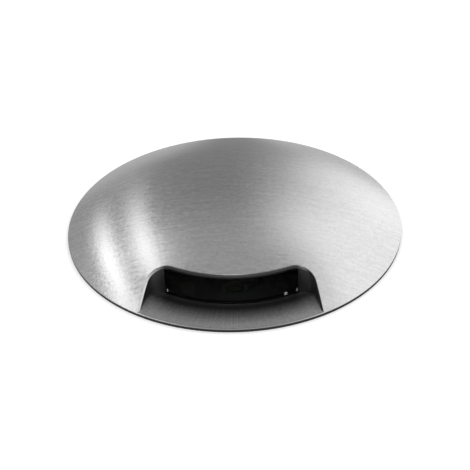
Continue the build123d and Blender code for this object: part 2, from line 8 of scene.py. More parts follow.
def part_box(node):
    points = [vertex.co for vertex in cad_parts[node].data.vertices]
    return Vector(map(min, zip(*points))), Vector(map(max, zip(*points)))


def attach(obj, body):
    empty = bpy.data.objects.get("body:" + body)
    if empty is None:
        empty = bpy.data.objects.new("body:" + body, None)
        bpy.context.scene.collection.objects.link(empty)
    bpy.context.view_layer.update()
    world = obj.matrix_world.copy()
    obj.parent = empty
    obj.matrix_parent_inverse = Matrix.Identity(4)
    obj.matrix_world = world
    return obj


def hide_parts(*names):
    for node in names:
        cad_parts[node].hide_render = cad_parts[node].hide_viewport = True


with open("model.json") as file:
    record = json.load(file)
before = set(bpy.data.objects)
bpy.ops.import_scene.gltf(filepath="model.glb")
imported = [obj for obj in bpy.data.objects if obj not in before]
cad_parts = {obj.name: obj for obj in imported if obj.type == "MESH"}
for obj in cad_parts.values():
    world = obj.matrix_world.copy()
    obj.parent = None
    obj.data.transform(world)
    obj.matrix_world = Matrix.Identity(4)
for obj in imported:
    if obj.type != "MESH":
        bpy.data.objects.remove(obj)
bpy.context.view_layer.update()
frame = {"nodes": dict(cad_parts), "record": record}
nodes = frame["nodes"]
mm = 0.001

# Places read from the frame, with what the cap's own shape adds
domeRise = 12.15 * mm
ringGrip = 1.1 * mm  # of the glass's edge, under its ring
mouthInset = 0.5 * mm  # of the roof's edge, inside the chamber's wall
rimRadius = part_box("cap")[1].x
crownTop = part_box("cap")[1].z
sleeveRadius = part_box("sleeve")[1].x
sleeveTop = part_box("sleeve")[1].z
rimEdge = crownTop - domeRise
domeRadius = (rimRadius ** 2 + domeRise ** 2) / (2 * domeRise)
domeCentre = crownTop - domeRadius
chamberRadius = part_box("lens")[1].x - ringGrip
mouthRadius = chamberRadius - mouthInset
print("frame loaded,", len(nodes), "nodes")


# Objects and meshes
def addObject(name, data):
    made = bpy.data.objects.new(name, data)
    bpy.context.scene.collection.objects.link(made)
    return made


def addMesh(name, mesh, material):
    data = bpy.data.meshes.new(name)
    mesh.to_mesh(data)
    mesh.free()
    data.materials.append(material)
    return addObject(name, data)


# Camera at the photograph's angle
cameraSettings = {
    "distance": 270 * mm,
    "azimuth": 2.32,
    "elevation": 35.66,
    "roll": 1.63,
    "lens": 75.75,
    "sensor": 36,
    "clip": (0.01, 20),
    "aimSide": 0.11 * mm,
    "aimUp": -3.27 * mm,
}


def makeCamera(s):
    azimuth, elevation = math.radians(s["azimuth"]), math.radians(s["elevation"])
    back = Vector((
        math.sin(azimuth) * math.cos(elevation),
        -math.cos(azimuth) * math.cos(elevation),
        math.sin(elevation),
    ))
    side = Vector((math.cos(azimuth), math.sin(azimuth), 0))
    up = back.cross(side)
    aim = side * s["aimSide"] + up * s["aimUp"]
    data = bpy.data.cameras.new("camera")
    data.sensor_width = s["sensor"]
    data.lens = s["lens"]
    data.clip_start, data.clip_end = s["clip"]
    camera = addObject("camera", data)
    roll = Matrix.Rotation(-math.radians(s["roll"]), 3, "Z")
    turn = Matrix((side, up, back)).transposed() @ roll
    camera.matrix_world = Matrix.Translation(aim + back * s["distance"]) @ turn.to_4x4()
    bpy.context.scene.camera = camera


makeCamera(cameraSettings)
bpy.context.scene.view_settings.view_transform = "Standard"
print("camera placed")


# Shader nodes: each socket takes a value, or another node's output
def addNode(tree, kind, sockets=None, **settings):
    node = tree.nodes.new("ShaderNode" + kind)
    for key, value in settings.items():
        setattr(node, key, value)
    for key, value in (sockets or {}).items():
        if isinstance(value, bpy.types.NodeSocket):
            tree.links.new(value, node.inputs[key])
        else:
            node.inputs[key].default_value = value
    return node


def startTree(owner):
    owner.use_nodes = True
    owner.node_tree.nodes.clear()
    return owner.node_tree


socketNames = {
    "colour": "Base Color",
    "metallic": "Metallic",
    "roughness": "Roughness",
    "ior": "IOR",
    "anisotropic": "Anisotropic",
    "transmission": "Transmission Weight",
    "normal": "Normal",
    "tangent": "Tangent",
}


def startMaterial(name, **constants):
    material = bpy.data.materials.new(name)
    tree = startTree(material)
    sockets = {socketNames[key]: value for key, value in constants.items()}
    shader = addNode(tree, "BsdfPrincipled", sockets)
    addNode(tree, "OutputMaterial", {"Surface": shader.outputs["BSDF"]})
    return material, tree, shader


def connect(tree, shader, **sockets):
    for key, value in sockets.items():
        tree.links.new(value, shader.inputs[socketNames[key]])


def grey(level):
    return (level, level, level, 1)


def objectPlace(tree):
    return addNode(tree, "TexCoord").outputs["Object"]


def coordinates(tree, scale=(1, 1, 1)):
    return addNode(tree, "Mapping", {"Vector": objectPlace(tree), "Scale": scale}).outputs["Vector"]


def noise(tree, vector, scale, detail=2, roughness=0.6):
    sockets = {"Vector": vector, "Scale": scale, "Detail": detail, "Roughness": roughness}
    return addNode(tree, "TexNoise", sockets).outputs["Fac"]


noiseRange = (0.3, 0.7)  # where nearly all values of a noise lie


def spread(tree, value, first, last, low=noiseRange[0], high=noiseRange[1], **settings):
    sockets = {"Value": value, "From Min": low, "From Max": high, "To Min": first, "To Max": last}
    return addNode(tree, "MapRange", sockets, **settings).outputs["Result"]


def smoothly(tree, value, low, high, first=0.0, last=1.0):
    return spread(tree, value, first, last, low, high, interpolation_type="SMOOTHSTEP")


def maths(tree, operation, first, second=0.0, third=0.0):
    return addNode(tree, "Math", {0: first, 1: second, 2: third}, operation=operation).outputs["Value"]


def weighted(tree, values, shares):
    total = 0.0
    for value, share in zip(values, shares):
        total = maths(tree, "MULTIPLY_ADD", value, share, total)
    return total


def split(tree, vector):
    parts = addNode(tree, "SeparateXYZ", {"Vector": vector}).outputs
    return parts["X"], parts["Y"], parts["Z"]


def radiusOf(tree, across, along):
    squares = maths(tree, "ADD", maths(tree, "POWER", across, 2), maths(tree, "POWER", along, 2))
    return maths(tree, "SQRT", squares)


# Degrees from the back of the light, to its right
def turnOf(tree, across, along):
    return maths(tree, "DEGREES", maths(tree, "ARCTAN2", across, along))


def distanceFrom(tree, place, centre):
    return addNode(tree, "VectorMath", {0: place, 1: centre}, operation="DISTANCE").outputs["Value"]


def alongWay(tree, place, way):
    return addNode(tree, "VectorMath", {0: place, 1: way}, operation="DOT_PRODUCT").outputs["Value"]


def blendColours(tree, factor, first, second):
    return addNode(tree, "Mix", {0: factor, 6: first, 7: second}, data_type="RGBA").outputs[2]


def blendGreys(tree, factor, first, second):
    return blendColours(tree, factor, grey(first), grey(second))


def blendValues(tree, factor, first, second):
    return addNode(tree, "Mix", {0: factor, 2: first, 3: second}).outputs[0]


def bump(tree, height, depth, normal=None):
    sockets = {"Height": height, "Strength": 1, "Distance": depth}
    if normal:
        sockets["Normal"] = normal
    return addNode(tree, "Bump", sockets).outputs["Normal"]


# Brushed steel of the cap: strokes along X over the dome, darker faces under it, with painted light and
# shade on the window's walls and broken edges, and a painted dark reflection on the rim's upright edge
capFinish = {
    "domeGrey": (0.47, 0.67),
    "lineLength": 18 * mm,
    "lineWidth": 1.1 * mm,
    "strokeLength": 2.8 * mm,
    "strokeWidth": 0.7 * mm,
    "speckle": 0.85 * mm,
    "grainShares": (0.26, 0.36, 0.38),  # of lines, strokes and speckle
    "grainDetail": 3,
    "grainDepth": 0.04 * mm,
    "roughness": (0.16, 0.28),
    "underRoughness": 0.42,
    "anisotropic": 0.7,
    "wallPaintedLightAndShade": (0.65, 0.1),  # window's walls, from the chamber to the rim: painted light at the chamber, painted shade towards the rim
    "wallSpan": 7 * mm,
    "roofEdgeGrey": 0.11,
    "roofEdgeEnd": (0.3 * mm, 2.6 * mm),  # beyond the roof's edge, where the window's sides begin
    "breakWidth": 0.5 * mm,
    "breakPaintedLight": (0.04, 0.75),  # right and left broken edge of the window: painted shade on the right, painted highlight on the left
    "insideGrey": 0.35,  # roof's underside and the chamber's wall
    "floorGrey": 0.64,
    "floorDarkShare": 0.7,  # of the floor's grey, in its grain
    "floorShadeShare": 0.15,  # of the floor's grey, where it meets the chamber
    "shadeSpan": (3.2 * mm, 10.6 * mm),  # beyond the chamber's wall
    "floorStreak": 0.7 * mm,
    "floorSpeckle": 0.5 * mm,
    "floorShares": (0.4, 0.6),  # of streaks and speckle
    "streakReach": 3.5 * mm,  # by which the grain frays the shade
    "edgePaintedReflection": 0.05,  # upright edge of the rim, painted dark as a reflection of dark surroundings
    "uprightTo": (0.9, 0.95),  # of a normal's rise, where walls end and the floor begins
    "skin": (0.06 * mm, 0.12 * mm),  # depth at which the brushed skin ends
}


def capGrain(tree, s):
    lines = coordinates(tree, (1 / s["lineLength"], 1 / s["lineWidth"], 0))
    strokes = coordinates(tree, (1 / s["strokeLength"], 1 / s["strokeWidth"], 0))
    parts = ((lines, 1), (strokes, 1), (coordinates(tree), 1 / s["speckle"]))
    heights = [noise(tree, place, scale, s["grainDetail"]) for place, scale in parts]
    return weighted(tree, heights, s["grainShares"])


# Where a point lies on the cap: on each face, from 0 to 1, and its place for the floor's grain
def capPlaces(tree, s):
    shallow, deep = s["skin"]
    edgeLow, edgeHigh = s["roofEdgeEnd"]
    place = objectPlace(tree)
    across, along, up = split(tree, place)
    out = radiusOf(tree, across, along)
    fromCentre = distanceFrom(tree, place, (0, 0, domeCentre))
    normal = addNode(tree, "NewGeometry").outputs["Normal"]
    turn = addNode(tree, "CombineXYZ", {"X": maths(tree, "ARCTAN2", along, across)})
    breakFrom = domeRadius - s["breakWidth"]
    onRim = spread(tree, out, 0, 1, rimRadius - deep, rimRadius - shallow)
    return {
        "out": out,
        "turn": turn.outputs["Vector"],
        "dome": spread(tree, fromCentre, 0, 1, domeRadius - deep, domeRadius - shallow),
        "nearDome": spread(tree, fromCentre, 0, 1, breakFrom, breakFrom + shallow),
        "edge": maths(tree, "MULTIPLY", onRim, spread(tree, up, 1, 0, rimEdge - deep, rimEdge)),
        "beyondRoof": spread(tree, out, 0, 1, mouthRadius - deep, mouthRadius - shallow),
        "sides": spread(tree, out, 0, 1, mouthRadius + edgeLow, mouthRadius + edgeHigh),
        "left": spread(tree, across, 1, 0, -s["breakWidth"], s["breakWidth"]),
        "upright": spread(tree, split(tree, normal)[2], 1, 0, *s["uprightTo"]),
    }


# Floor of the window, with its streaked grain and the shade towards the chamber
def capFloor(tree, s, at):
    streaks = noise(tree, at["turn"], rimRadius / s["floorStreak"])
    speckle = noise(tree, coordinates(tree), 1 / s["floorSpeckle"])
    grain = weighted(tree, (streaks, speckle), s["floorShares"])
    dark = s["floorGrey"] * s["floorDarkShare"]
    floor = blendGreys(tree, spread(tree, grain, 0, 1), dark, s["floorGrey"])
    frayed = maths(tree, "SUBTRACT", grain, sum(noiseRange) / 2)
    frayed = maths(tree, "MULTIPLY_ADD", frayed, s["streakReach"], at["out"])
    shadeFrom, shadeTo = (chamberRadius + end for end in s["shadeSpan"])
    shade = spread(tree, frayed, s["floorShadeShare"], 1, shadeFrom, shadeTo)
    shaded = addNode(tree, "VectorMath", {"Vector": floor, "Scale": shade}, operation="SCALE")
    return shaded.outputs["Vector"]


def makeBrushedCap(name, s):
    material, tree, shader = startMaterial(name, anisotropic=s["anisotropic"])
    grain = capGrain(tree, s)
    at = capPlaces(tree, s)
    outward = spread(tree, at["out"], 0, 1, chamberRadius, chamberRadius + s["wallSpan"])
    broken = maths(tree, "MULTIPLY", at["nearDome"], maths(tree, "MULTIPLY", at["sides"], at["upright"]))
    metal = maths(tree, "MAXIMUM", at["beyondRoof"], maths(tree, "MAXIMUM", at["nearDome"], at["dome"]))
    # The walls' grey is painted light near the chamber and painted shade towards the rim
    walls = blendGreys(tree, outward, *s["wallPaintedLightAndShade"])
    dome = blendGreys(tree, spread(tree, grain, 0, 1), *s["domeGrey"])
    colour = blendColours(tree, at["upright"], capFloor(tree, s, at), walls)
    # Broken edges of the window: a painted highlight on the left and painted shade on the right
    colour = blendColours(tree, broken, colour, blendGreys(tree, at["left"], *s["breakPaintedLight"]))
    colour = blendColours(tree, at["sides"], grey(s["roofEdgeGrey"]), colour)
    colour = blendColours(tree, metal, grey(s["insideGrey"]), colour)
    colour = blendColours(tree, at["dome"], colour, dome)
    # The rim's upright edge is painted dark: a painted reflection of dark surroundings
    colour = blendColours(tree, at["edge"], colour, grey(s["edgePaintedReflection"]))
    rubbed = spread(tree, grain, *s["roughness"])
    along = addNode(tree, "VectorTransform", {"Vector": (0, 1, 0)}, vector_type="VECTOR",
                    convert_from="OBJECT", convert_to="WORLD")
    connect(tree, shader, colour=colour, metallic=metal, tangent=along.outputs["Vector"])
    connect(tree, shader, roughness=blendValues(tree, at["dome"], s["underRoughness"], rubbed))
    connect(tree, shader, normal=bump(tree, maths(tree, "MULTIPLY", grain, at["dome"]), s["grainDepth"]))
    return material


# Wear and fine marks of every other surface
surfaceSettings = {
    "softEdge": 0.3 * mm,
    "softEdgeSamples": 6,
    "wornNoise": (4, 0.55),
    "wornShares": (0.5, 0.5),  # of smudges and of each set of marks
    "wornRoughness": (1.25, 0.8),  # times the roughness, where it is dull and where it is pale
    "rubbedLength": 40,  # times the width of a line
    "rubbedDetail": 3,
    "trackPitch": 8,  # times the width of a track
    "trackFade": 1.3,
}


# Heights of the marks that a tool or a mould left behind
def turnedMarks(tree, size):
    across, along, up = split(tree, coordinates(tree))
    out = radiusOf(tree, across, along)
    turned = {"X": maths(tree, "DIVIDE", out, size), "Y": maths(tree, "DIVIDE", up, size)}
    return noise(tree, addNode(tree, "CombineXYZ", turned).outputs["Vector"], 1)


def rubbedMarks(tree, size):
    long = size * surfaceSettings["rubbedLength"]
    place = coordinates(tree, (1 / size, 1 / size, 1 / long))
    return noise(tree, place, 1, surfaceSettings["rubbedDetail"])


def trackMarks(tree, size):
    pitch, fade = surfaceSettings["trackPitch"], surfaceSettings["trackFade"]
    sockets = {"Vector": coordinates(tree), "Scale": 1 / (pitch * size)}
    cells = addNode(tree, "TexVoronoi", sockets, feature="DISTANCE_TO_EDGE")
    return spread(tree, cells.outputs["Distance"], 1, 0, 1 / pitch, fade / pitch)


def woundMarks(tree, size):
    return noise(tree, coordinates(tree, (0, 0, 1)), 1 / size, 0)


def grainyMarks(tree, size):
    return noise(tree, coordinates(tree), 1 / size)


markHeights = {
    "turned": turnedMarks,
    "rubbed": rubbedMarks,
    "tracks": trackMarks,
    "wound": woundMarks,
    "grainy": grainyMarks,
}


def makeSurface(name, colour, roughness, marks=(), lighter=0.12, smudge=14 * mm, **constants):
    s = surfaceSettings
    material, tree, shader = startMaterial(name, **constants)
    worn = noise(tree, coordinates(tree), 1 / smudge, *s["wornNoise"])
    normal = None
    if marks:
        edges = addNode(tree, "Bevel", {"Radius": s["softEdge"]}, samples=s["softEdgeSamples"])
        normal = edges.outputs["Normal"]
    for kind, size, depth in marks:
        height = markHeights[kind](tree, size)
        normal = bump(tree, height, depth, normal)
        worn = weighted(tree, (worn, height), s["wornShares"])
    pale = tuple(min(1, channel * (1 + lighter)) for channel in colour) + (1,)
    dull = tuple(channel * (1 - lighter) for channel in colour) + (1,)
    dullShare, paleShare = s["wornRoughness"]
    connect(tree, shader, colour=blendColours(tree, spread(tree, worn, 0, 1), dull, pale))
    connect(tree, shader, roughness=spread(tree, worn, roughness * dullShare, roughness * paleShare))
    if normal:
        connect(tree, shader, normal=normal)
    return material


# Marks that the finishes share, each with its kind, size and depth
cast = ("grainy", 0.35 * mm, 0.012 * mm)
moulded = ("grainy", 0.22 * mm, 0.02 * mm)
pressed = ("grainy", 0.1 * mm, 0.01 * mm)
turnedFine = ("turned", 0.16 * mm, 0.006 * mm)
turnedBroad = ("turned", 0.5 * mm, 0.004 * mm)
drawn = ("rubbed", 0.09 * mm, 0.008 * mm)
scuffed = ("rubbed", 0.5 * mm, 0.02 * mm)
wideTracks = ("tracks", 0.5 * mm, 0.03 * mm)
fineTracks = ("tracks", 0.35 * mm, 0.03 * mm)
woundWire = ("wound", 0.4 * mm, 0.15 * mm)
# Every finish but the cap's, by its slot
looks = {
    "polished_dish": dict(colour=(0.75, 0.75, 0.76), roughness=0.12, marks=[turnedFine], metallic=1),
    "steel_screws": dict(colour=(0.52, 0.52, 0.53), roughness=0.3, marks=[turnedBroad], metallic=1,
                         lighter=0.2, smudge=2 * mm),
    "polished_ring": dict(colour=(0.8, 0.8, 0.8), roughness=0.07, metallic=1, lighter=0.04),
    "black_silicone": dict(colour=(0.021, 0.021, 0.022), roughness=0.6, marks=[moulded], lighter=0.2),
    "clear_glass": dict(colour=(0.38, 0.4, 0.395), roughness=0.02, lighter=0.01,
                        transmission=0.9, ior=1.5),
    "anodised_body": dict(colour=(0.23, 0.235, 0.24), roughness=0.36, marks=[cast, turnedFine],
                          metallic=1),
    "grey_pad": dict(colour=(0.35, 0.38, 0.4), roughness=0.8, marks=[moulded],
                     lighter=0.15, smudge=1 * mm),
    "white_board": dict(colour=(0.8, 0.81, 0.79), roughness=0.35, marks=[wideTracks], lighter=0.05),
    "led_phosphor": dict(colour=(0.85, 0.7, 0.16), roughness=0.3, marks=[pressed], lighter=0.1),
    "clear_optic": dict(colour=(0.94, 0.95, 0.95), roughness=0.04, lighter=0.01,
                        transmission=1, ior=1.49),
    "black_holder": dict(colour=(0.07, 0.07, 0.072), roughness=0.5, marks=[moulded], lighter=0.15),
    "lead_cover": dict(colour=(0.55, 0.03, 0.025), roughness=0.4, marks=[drawn], lighter=0.08),
    "green_board": dict(colour=(0.02, 0.15, 0.065), roughness=0.35, marks=[fineTracks], lighter=0.25),
    "brass_spacers": dict(colour=(0.7, 0.5, 0.22), roughness=0.25, marks=[turnedFine], metallic=1,
                          lighter=0.15, smudge=3 * mm),
    "ferrite": dict(colour=(0.35, 0.14, 0.05), roughness=0.35, marks=[woundWire], lighter=0.2),
    "capacitor_cans": dict(colour=(0.03, 0.035, 0.06), roughness=0.3, marks=[moulded], lighter=0.15),
    "chip_black": dict(colour=(0.02, 0.02, 0.02), roughness=0.5, marks=[moulded], lighter=0.2),
    "terminal_green": dict(colour=(0.03, 0.25, 0.09), roughness=0.4, marks=[moulded], lighter=0.1),
    "plated_brass": dict(colour=(0.6, 0.58, 0.53), roughness=0.3, marks=[turnedBroad], metallic=1,
                         smudge=5 * mm),
    "spring_steel": dict(colour=(0.5, 0.5, 0.5), roughness=0.3, marks=[drawn], metallic=1,
                         lighter=0.15, smudge=4 * mm),
    "spring_wire": dict(colour=(0.42, 0.42, 0.43), roughness=0.28, marks=[drawn], metallic=1,
                        lighter=0.15, smudge=3 * mm),
    "sleeve_plastic": dict(colour=(0.03, 0.031, 0.033), roughness=0.5, marks=[moulded, scuffed],
                           lighter=0.3, smudge=20 * mm),
}


def camelName(slotName):
    first, *others = slotName.split("_")
    return first + "".join(word.capitalize() for word in others)


finishes = {"brushed_cap": makeBrushedCap("brushedCap", capFinish)}
for slotName, look in looks.items():
    finishes[slotName] = makeSurface(camelName(slotName), **look)
record = frame["record"]
slotOf = {row["node"]: row["material_slot"] for row in record["subparts"]}
bodyOf = {node: body for body, members in record["behaviour"]["bodies"].items() for node in members}
for name, node in nodes.items():
    node.data.materials.clear()
    node.data.materials.append(finishes[slotOf[name]])
print("finishes on", len(nodes), "nodes")


# Pieces that are turned about the light's axis
turnedSettings = {
    "steps": 192,
    "merge": 0.002 * mm,
    "smooth": 40,  # degrees, beyond which an edge stays sharp
    "roundFrom": 30,  # degrees, beyond which an edge is rounded
    "roundProfile": 0.5,
}


# The same mesh with its points and faces in a fixed order, since spin's faces come in another in most runs
def inOrder(mesh):
    made = bmesh.new()
    for rank, vert in enumerate(sorted(mesh.verts, key=lambda vert: tuple(vert.co))):
        vert.index = rank
        made.verts.new(vert.co)
    made.verts.ensure_lookup_table()
    loops = []
    for face in mesh.faces:
        ranks = [vert.index for vert in face.verts]
        start = ranks.index(min(ranks))
        loops.append(ranks[start:] + ranks[:start])
    for ranks in sorted(loops):
        made.faces.new([made.verts[rank] for rank in ranks])
    made.normal_update()
    mesh.free()
    return made


def finishPiece(mesh, name, finish, smooth=turnedSettings["smooth"]):
    bmesh.ops.remove_doubles(mesh, verts=mesh.verts, dist=turnedSettings["merge"])
    bmesh.ops.recalc_face_normals(mesh, faces=mesh.faces)
    piece = addMesh(name, inOrder(mesh), finishes[finish])
    piece.data.shade_smooth()
    piece.data.set_sharp_from_angle(angle=math.radians(smooth))
    return piece


def turnProfile(mesh, profile, steps):
    verts = [mesh.verts.new((radius, 0, height)) for radius, height in profile]
    edges = [mesh.edges.new((a, b)) for a, b in zip(verts, verts[1:] + verts[:1])]
    bmesh.ops.spin(mesh, geom=verts + edges, cent=(0, 0, 0), axis=(0, 0, 1), angle=math.tau,
                   steps=steps, use_merge=True)
    bmesh.ops.recalc_face_normals(mesh, faces=mesh.faces)


def roundEdges(mesh, width, segments):
    mesh = inOrder(mesh)
    sharp = math.radians(turnedSettings["roundFrom"])
    edges = [edge for edge in mesh.edges if edge.calc_face_angle(0) > sharp]
    bmesh.ops.bevel(mesh, geom=edges, offset=width, segments=segments,
                    profile=turnedSettings["roundProfile"], affect="EDGES", material=-1)
    return mesh


# The polished ring that holds the glass
ringSettings = {
    "gap": 0.3 * mm,  # to the chamber's wall
    "wall": 1.0 * mm,
    "bevel": 0.35 * mm,
    "rise": 1.8 * mm,
    "stakes": (-33.4, -30.8, 25.2, 31.4),  # turned from the front, and again across the ring
    "stake": (0.55 * mm, 0.35 * mm, 0.25 * mm),
    "stakeSteps": (16, 10),
    "stakeRise": 0.2 * mm,
    "stakeInset": 0.6 * mm,
}


def makeLensRing(s):
    low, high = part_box("lens_ring")
    seat = high.z - s["rise"]
    outer = chamberRadius - s["gap"]
    bore = outer - s["wall"]
    around, upward = s["stakeSteps"]
    mesh = bmesh.new()
    turnProfile(mesh, [
        (bore, low.z), (high.x, low.z), (high.x, seat), (outer, seat),
        (outer, high.z), (bore + s["bevel"], high.z), (bore, high.z - s["bevel"]),
    ], turnedSettings["steps"])
    for turn in s["stakes"] + tuple(turn + 180 for turn in s["stakes"]):
        stake = bmesh.ops.create_uvsphere(mesh, u_segments=around, v_segments=upward, radius=1)["verts"]
        place = (0, s["stakeInset"] - outer, high.z + s["stakeRise"])
        turned = Matrix.Rotation(math.radians(turn), 3, "Z")
        bmesh.ops.scale(mesh, vec=s["stake"], verts=stake)
        bmesh.ops.translate(mesh, vec=place, verts=stake)
        bmesh.ops.rotate(mesh, cent=(0, 0, 0), matrix=turned, verts=stake)
    ring = finishPiece(mesh, "lens_ring_turned", "polished_ring")
    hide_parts("lens_ring")
    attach(ring, bodyOf["lens_ring"])


makeLensRing(ringSettings)
print("lens ring turned")


# The sleeve that stays in the paving, with its keying grooves
sleeveSettings = {
    "wall": 2.0 * mm,
    "grooveDepth": 0.8 * mm,
    "grooveWidth": 3.0 * mm,
    "groovePitch": 20.0 * mm,
    "grooveCount": 3,
    "round": 0.35 * mm,
    "roundSteps": 3,
}


def makeSleeve(s):
    low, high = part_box("sleeve")
    bore = high.x - s["wall"]
    root = high.x - s["grooveDepth"]
    profile = [(bore, low.z), (high.x, low.z)]
    for groove in range(s["grooveCount"]):
        start = low.z + s["groovePitch"] * (groove + 1)
        end = start + s["grooveWidth"]
        profile += [(high.x, start), (root, start), (root, end), (high.x, end)]
    profile += [(high.x, high.z), (bore, high.z)]
    mesh = bmesh.new()
    turnProfile(mesh, profile, turnedSettings["steps"])
    mesh = roundEdges(mesh, s["round"], s["roundSteps"])
    sleeve = finishPiece(mesh, "sleeve_rounded", "sleeve_plastic")
    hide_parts("sleeve")
    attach(sleeve, bodyOf["sleeve"])


makeSleeve(sleeveSettings)
print("sleeve turned")


# Hexagons and threads of the cable gland
glandSettings = {
    "steps": 96,
    "smooth": 25,
    "near": 0.01 * mm,  # how close to a hexagon's corner a point counts as on its band
    "flats": 20.0 * mm,
    "lockFlats": 19.0 * mm,
    "faceShare": 0.96,  # flat end of a hexagon, of its flats' half width
    "chamfer": 30,
    "major": 8.0 * mm,
    "root": 7.35 * mm,
    "pitch": 1.0 * mm,
    "stem": 8.0 * mm,
    "collar": 4.0 * mm,
    "cup": 5.6 * mm,
    "bore": 4.2 * mm,
    "nutBore": 8.05 * mm,
    "nutEntry": 5.4 * mm,
    "nutEnd": (9.0 * mm, 2.0 * mm, 0.6 * mm),  # radius, length and rounding of the nut's lower end
    "sealLength": 9.0 * mm,
}
sideAngle = 360 / 6


# Radius of a hexagon, at an angle in degrees from one of its corners
def hexagonReach(flats, angle=0):
    return flats / 2 / math.cos(math.radians(angle - sideAngle / 2))


def hexagonBand(s, flats, low, high):
    corner = hexagonReach(flats)
    face = flats / 2 * s["faceShare"]
    return [(face, low), (corner, low), (corner, high), (face, high)]


def threadBand(s, low, high):
    points = []
    for turn in range(int((high - low) / s["pitch"])):
        level = low + turn * s["pitch"]
        points += [(s["root"], level), (s["major"], level + s["pitch"] / 2)]
    return points + [(s["root"], high)]


# A turned piece whose widest band is then cut to a hexagon with chamfered corners
def turnHexagon(s, name, profile, flats, node):
    mesh = bmesh.new()
    turnProfile(mesh, profile, s["steps"])
    corner = hexagonReach(flats)
    face = flats / 2 * s["faceShare"]
    band = [vert for vert in mesh.verts if vert.co.xy.length > corner - s["near"]]
    middle = sum(vert.co.z for vert in band) / len(band)
    for vert in band:
        angle = math.degrees(math.atan2(vert.co.y, vert.co.x))
        reach = hexagonReach(flats, angle % sideAngle)
        drop = (reach - face) * math.tan(math.radians(s["chamfer"]))
        vert.co.xy *= reach / corner
        vert.co.z += drop if vert.co.z < middle else -drop
    piece = finishPiece(mesh, name, "plated_brass", s["smooth"])
    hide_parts(node)
    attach(piece, bodyOf[node])


def makeGland(s):
    low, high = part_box("gland_body")
    collarLow = low.z + s["stem"]
    collarHigh = collarLow + s["collar"]
    seat = collarLow - s["sealLength"]
    turnHexagon(s, "gland_body_threaded", [
        (s["cup"], low.z), *threadBand(s, low.z, collarLow),
        *hexagonBand(s, s["flats"], collarLow, collarHigh),
        *threadBand(s, collarHigh, high.z),
        (s["bore"], high.z), (s["bore"], collarLow), (s["cup"], collarLow),
    ], s["flats"], "gland_body")
    low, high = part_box("gland_nut")
    endRadius, endLength, endRound = s["nutEnd"]
    turnHexagon(s, "gland_nut_chamfered", [
        (s["nutEntry"], low.z), (endRadius - endRound, low.z), (endRadius, low.z + endRound),
        (endRadius, low.z + endLength), *hexagonBand(s, s["flats"], low.z + endLength, high.z),
        (s["nutBore"], high.z), (s["nutBore"], seat), (s["nutEntry"], seat),
    ], s["flats"], "gland_nut")
    low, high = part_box("gland_lock_nut")
    turnHexagon(s, "gland_lock_nut_chamfered", [
        (s["nutBore"], low.z), *hexagonBand(s, s["lockFlats"], low.z, high.z), (s["nutBore"], high.z),
    ], s["lockFlats"], "gland_lock_nut")


makeGland(glandSettings)
print("gland threaded")


# Pale floor at the paving's level, with the drilled hole
floorSettings = {
    "reach": 1.6,
    "gap": 0.05 * mm,
    "holeGap": 0.2 * mm,
    "colour": 0.86,
    "lift": (0.25, 0.5),  # light added for the camera, near the light and far off
    "liftFrom": (0.22, 0.6),
    "inMetal": (0.33, 0.62),  # level in reflections, straight behind the light and aside
    "asideFrom": (2, 20),
    "behind": -2,
}


# White to the camera, its own level in reflections, and clear from below
def floorMaterial(s):
    material = bpy.data.materials.new("paleFloor")
    tree = startTree(material)
    place = objectPlace(tree)
    path = addNode(tree, "LightPath").outputs
    seen = maths(tree, "MAXIMUM", path["Is Camera Ray"], path["Is Transmission Ray"])
    lift = smoothly(tree, distanceFrom(tree, place, (0, 0, 0)), *s["liftFrom"], *s["lift"])
    diffuse = addNode(tree, "BsdfDiffuse", {"Color": grey(s["colour"])})
    glow = addNode(tree, "Emission", {"Color": grey(1), "Strength": maths(tree, "MULTIPLY", seen, lift)})
    surface = addNode(tree, "AddShader", {0: diffuse.outputs[0], 1: glow.outputs[0]})
    across, along, up = split(tree, place)
    aside = maths(tree, "SUBTRACT", turnOf(tree, across, along), s["behind"])
    level = smoothly(tree, maths(tree, "ABSOLUTE", aside), *s["asideFrom"], *s["inMetal"])
    mirrored = addNode(tree, "Emission", {"Color": grey(1), "Strength": level})
    above = {0: path["Is Glossy Ray"], 1: surface.outputs[0], 2: mirrored.outputs[0]}
    sides = {
        0: addNode(tree, "NewGeometry").outputs["Backfacing"],
        1: addNode(tree, "MixShader", above).outputs[0],
        2: addNode(tree, "BsdfTransparent").outputs[0],
    }
    addNode(tree, "OutputMaterial", {"Surface": addNode(tree, "MixShader", sides).outputs[0]})
    return material


def extrudeRing(mesh, edges):
    made = bmesh.ops.extrude_edge_only(mesh, edges=edges)["geom"]
    return [item for item in made if isinstance(item, bmesh.types.BMVert)]


def makeFloor(s):
    hole = sleeveRadius + s["holeGap"]
    growth = s["reach"] / hole
    mesh = bmesh.new()
    bmesh.ops.create_circle(mesh, radius=hole, segments=turnedSettings["steps"])
    edges = list(mesh.edges)
    outer = extrudeRing(mesh, edges)
    bmesh.ops.scale(mesh, vec=(growth, growth, 1), verts=outer)
    lower = extrudeRing(mesh, edges)
    bmesh.ops.translate(mesh, vec=(0, 0, sleeveTop), verts=lower)
    bmesh.ops.translate(mesh, vec=(0, 0, -s["gap"]), verts=mesh.verts)
    bmesh.ops.recalc_face_normals(mesh, faces=mesh.faces)
    flattest = max(mesh.faces, key=lambda face: abs(face.normal.z))
    if flattest.normal.z < 0:
        bmesh.ops.reverse_faces(mesh, faces=mesh.faces)
    floor = addMesh("floor", mesh, floorMaterial(s))


# The world is white where it is seen, and softer as light
worldSettings = {"seen": 1.0, "asLight": 0.7}


